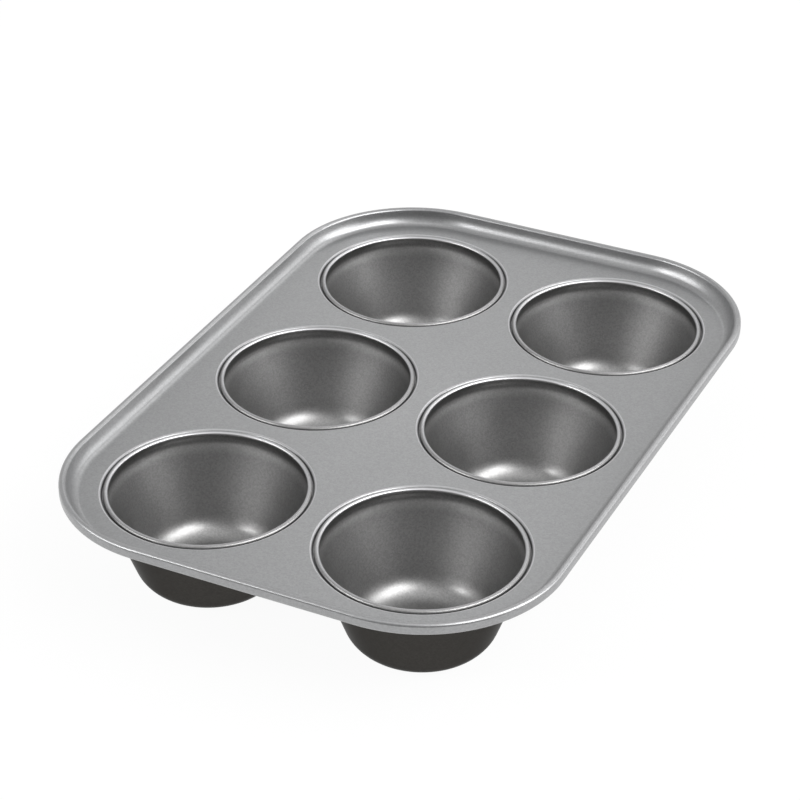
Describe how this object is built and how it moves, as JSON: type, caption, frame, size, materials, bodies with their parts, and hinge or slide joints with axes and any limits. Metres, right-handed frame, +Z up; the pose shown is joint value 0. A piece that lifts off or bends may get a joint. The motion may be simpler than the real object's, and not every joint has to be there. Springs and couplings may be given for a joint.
{
  "type": "muffin pan",
  "caption": "Oblong muffin pan of coated steel: a flat sheet with a raised, rolled rim carries round tapered cups that are locked into its holes.",
  "frame": {"origin": "middle of the pan on the plane that the cups stand on", "axes": "+X across the two columns of cups to the right, +Y along the three rows towards the back, +Z up out of the cups' mouths"},
  "size_m": [0.228, 0.3296, 0.0533],
  "materials": {
    "sheet_coating": "satin silver-grey non-stick coating with a fine metallic speckle",
    "cup_coating": "satin grey non-stick coating with a fine metallic speckle",
    "wire_steel": "drawn steel wire"
  },
  "bodies": {
    "root": {"pan_sheet": "sheet_coating", "rim_wire": "wire_steel", "cup_front_left": "cup_coating", "cup_front_right": "cup_coating", "cup_middle_left": "cup_coating", "cup_middle_right": "cup_coating", "cup_back_left": "cup_coating", "cup_back_right": "cup_coating"}
  },
  "joints": []
}
